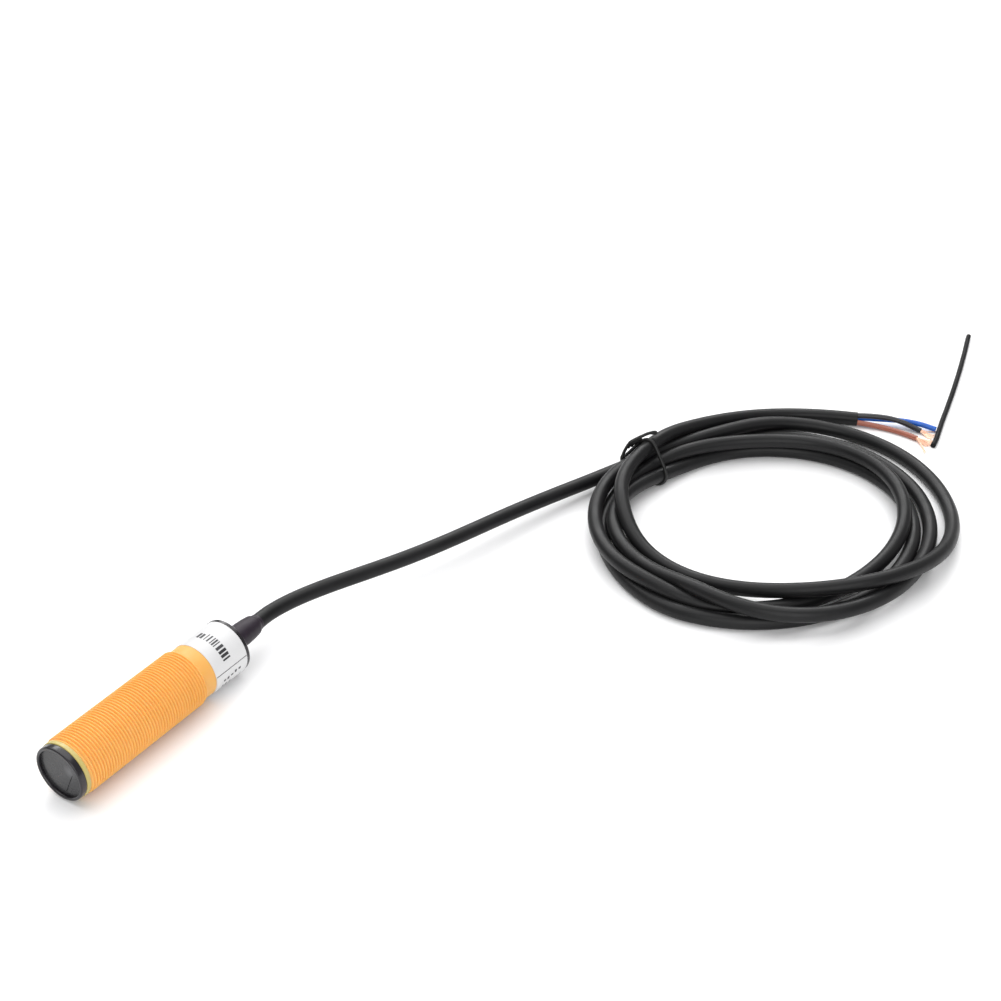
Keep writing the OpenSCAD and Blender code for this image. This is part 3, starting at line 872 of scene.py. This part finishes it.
def tie_crossings():
    """Where the cable's strands pass through the tie's leaning plane, as (x, z)."""
    ahead = CABLE[:, 1] - tie_plane(CABLE[:, 2])
    out = []
    for k in range(len(CABLE) - 1):
        if ahead[k] * ahead[k + 1] <= 0 and CABLE[k, 0] < COIL_CENTRE[0]:
            t = ahead[k] / (ahead[k] - ahead[k + 1])
            x, _, z = CABLE[k] * (1 - t) + CABLE[k + 1] * t
            out.append((x, z))
    return out


# The tie's knot from the loop outwards, and its two ends bent away
KNOT = ((44.6, 186.0, 13.4), (42.3, 182.0, 12.2))
TAILS = (
    [
        (42.6, 182.0, 13.4), (43.7, 183.3, 14.4), (45.6, 186.0, 15.4), (46.7, 188.2, 15.6),
        (48.1, 190.4, 15.2),
    ],
    [(41.7, 181.0, 11.0), (41.3, 180.4, 9.4), (41.3, 179.5, 7.5)],
)
KNOT_R = 0.55
KNOT_TURN = 3.5 * math.pi
TIE_STEP = 0.9
TIE_ROUNDS = 6  # of smoothing


def tie():
    """Wire tie: a loop pulled round the bundle, twisted on top, with its two ends bent away."""
    reach = CABLE_D / 2 + TIE_D / 2
    angles = np.linspace(0, 2 * math.pi, 48, endpoint=False)
    around = [
        (x + reach * math.cos(a), max(TIE_D / 2, z + reach * math.sin(a)))
        for x, z in tie_crossings()
        for a in angles
    ]
    loop = np.array([(x, tie_plane(z), z) for x, z in hull(around)])
    loop = spaced(np.vstack([loop, loop[:1]]), TIE_STEP)[:-1]
    for _ in range(TIE_ROUNDS):
        loop = (np.roll(loop, 1, 0) + 2 * loop + np.roll(loop, -1, 0)) / 4
    loop[:, 2] = np.maximum(loop[:, 2], TIE_D / 2)
    parts = [tube_mesh(loop, TIE_D / 2, 12, closed=True)]

    top, foot = (np.array(p) for p in KNOT)
    for phase, end in zip((0, math.pi), TAILS):
        path = []
        for s in np.linspace(0, 1, 8):
            a = phase + s * KNOT_TURN
            swing = np.array((0.5 * math.cos(a), 0.2 * math.cos(a), math.sin(a)))
            path.append(top * (1 - s) + foot * s + KNOT_R * swing)
        line = smooth_curve(np.vstack([path, end]), 5)
        radii = np.full(len(line), TIE_D / 2 * 0.95)
        radii[-4:-1] *= 1.25
        parts.append(tube_mesh(line, radii, 10))
    verts, faces = joined(parts)
    obj = mesh_piece("tie_wire", verts, faces, MAT["tie"], 50)
    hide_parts("twist_tie")
    return obj


def length(points):
    return float(np.linalg.norm(np.diff(np.asarray(points), axis=0), axis=1).sum())


the_cable = cable()
wires = cores()
copper = [
    strands("brown_strands", BROWN, 3, count=24, length=6.8, spread=0.72, node="strands_brown"),
    strands("black_strands", BLACK, 5, count=14, length=5.6, spread=0.5, node="strands_black"),
]
sleeve, sleeve_path = tube_piece("sleeve_tube", SLEEVE, SLEEVE_D, "sleeve", 24, 4, 0.04)
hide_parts("loose_sleeve")
jacket_end()
tie()


# ---------------------------------------------------------------- CAD nodes that stay

for part in frame["record"]["subparts"]:
    node = bpy.data.objects.get(part["node"])
    if node is not None and not node.hide_render:
        node.data.materials.clear()
        node.data.materials.append(MAT[part["material_slot"]])


# ---------------------------------------------------------------- floor and light

def surface():
    """Plain white surface that fills the view."""
    me = bpy.data.meshes.new("surface")
    half = 3.0
    corners = [(-half, -half, 0), (half, -half, 0), (half, half, 0), (-half, half, 0)]
    me.from_pydata(corners, [], [(0, 1, 2, 3)])
    obj = bpy.data.objects.new("surface", me)
    bpy.context.collection.objects.link(obj)
    p = Paint("surface_white", Specular_IOR_Level=0.25)
    p.colour((0.90, 0.90, 0.905), (0.93, 0.93, 0.935), 3.0)
    p.rough(0.45, 0.6, 8.0)
    me.materials.append(p.mat)


LIGHTS_AIM = (0.05, 0.12, 0.0)
WORLD_STRENGTH = 0.4


def area_light(name, place, size, power):
    data = bpy.data.lights.new(name, "AREA")
    data.shape = "RECTANGLE"
    data.size, data.size_y = size
    data.energy = power
    obj = bpy.data.objects.new(name, data)
    obj.location = place
    obj.rotation_euler = (Vector(LIGHTS_AIM) - Vector(place)).to_track_quat("-Z", "Y").to_euler()
    bpy.context.collection.objects.link(obj)


def light():
    world = bpy.data.worlds.new("studio")
    world.use_nodes = True
    sky = world.node_tree.nodes["Background"]
    sky.inputs["Color"].default_value = (1.0, 1.0, 1.0, 1.0)
    sky.inputs["Strength"].default_value = WORLD_STRENGTH
    bpy.context.scene.world = world
    area_light("overhead", (-0.45, 0.5, 1.45), (2.4, 2.4), 36.0)
    area_light("behind", (-0.75, 1.25, 0.95), (1.6, 0.5), 10.0)
    area_light("fill", (1.0, -0.9, 0.85), (1.6, 1.4), 16.0)
    bpy.context.scene.view_settings.view_transform = "Standard"


surface()
light()
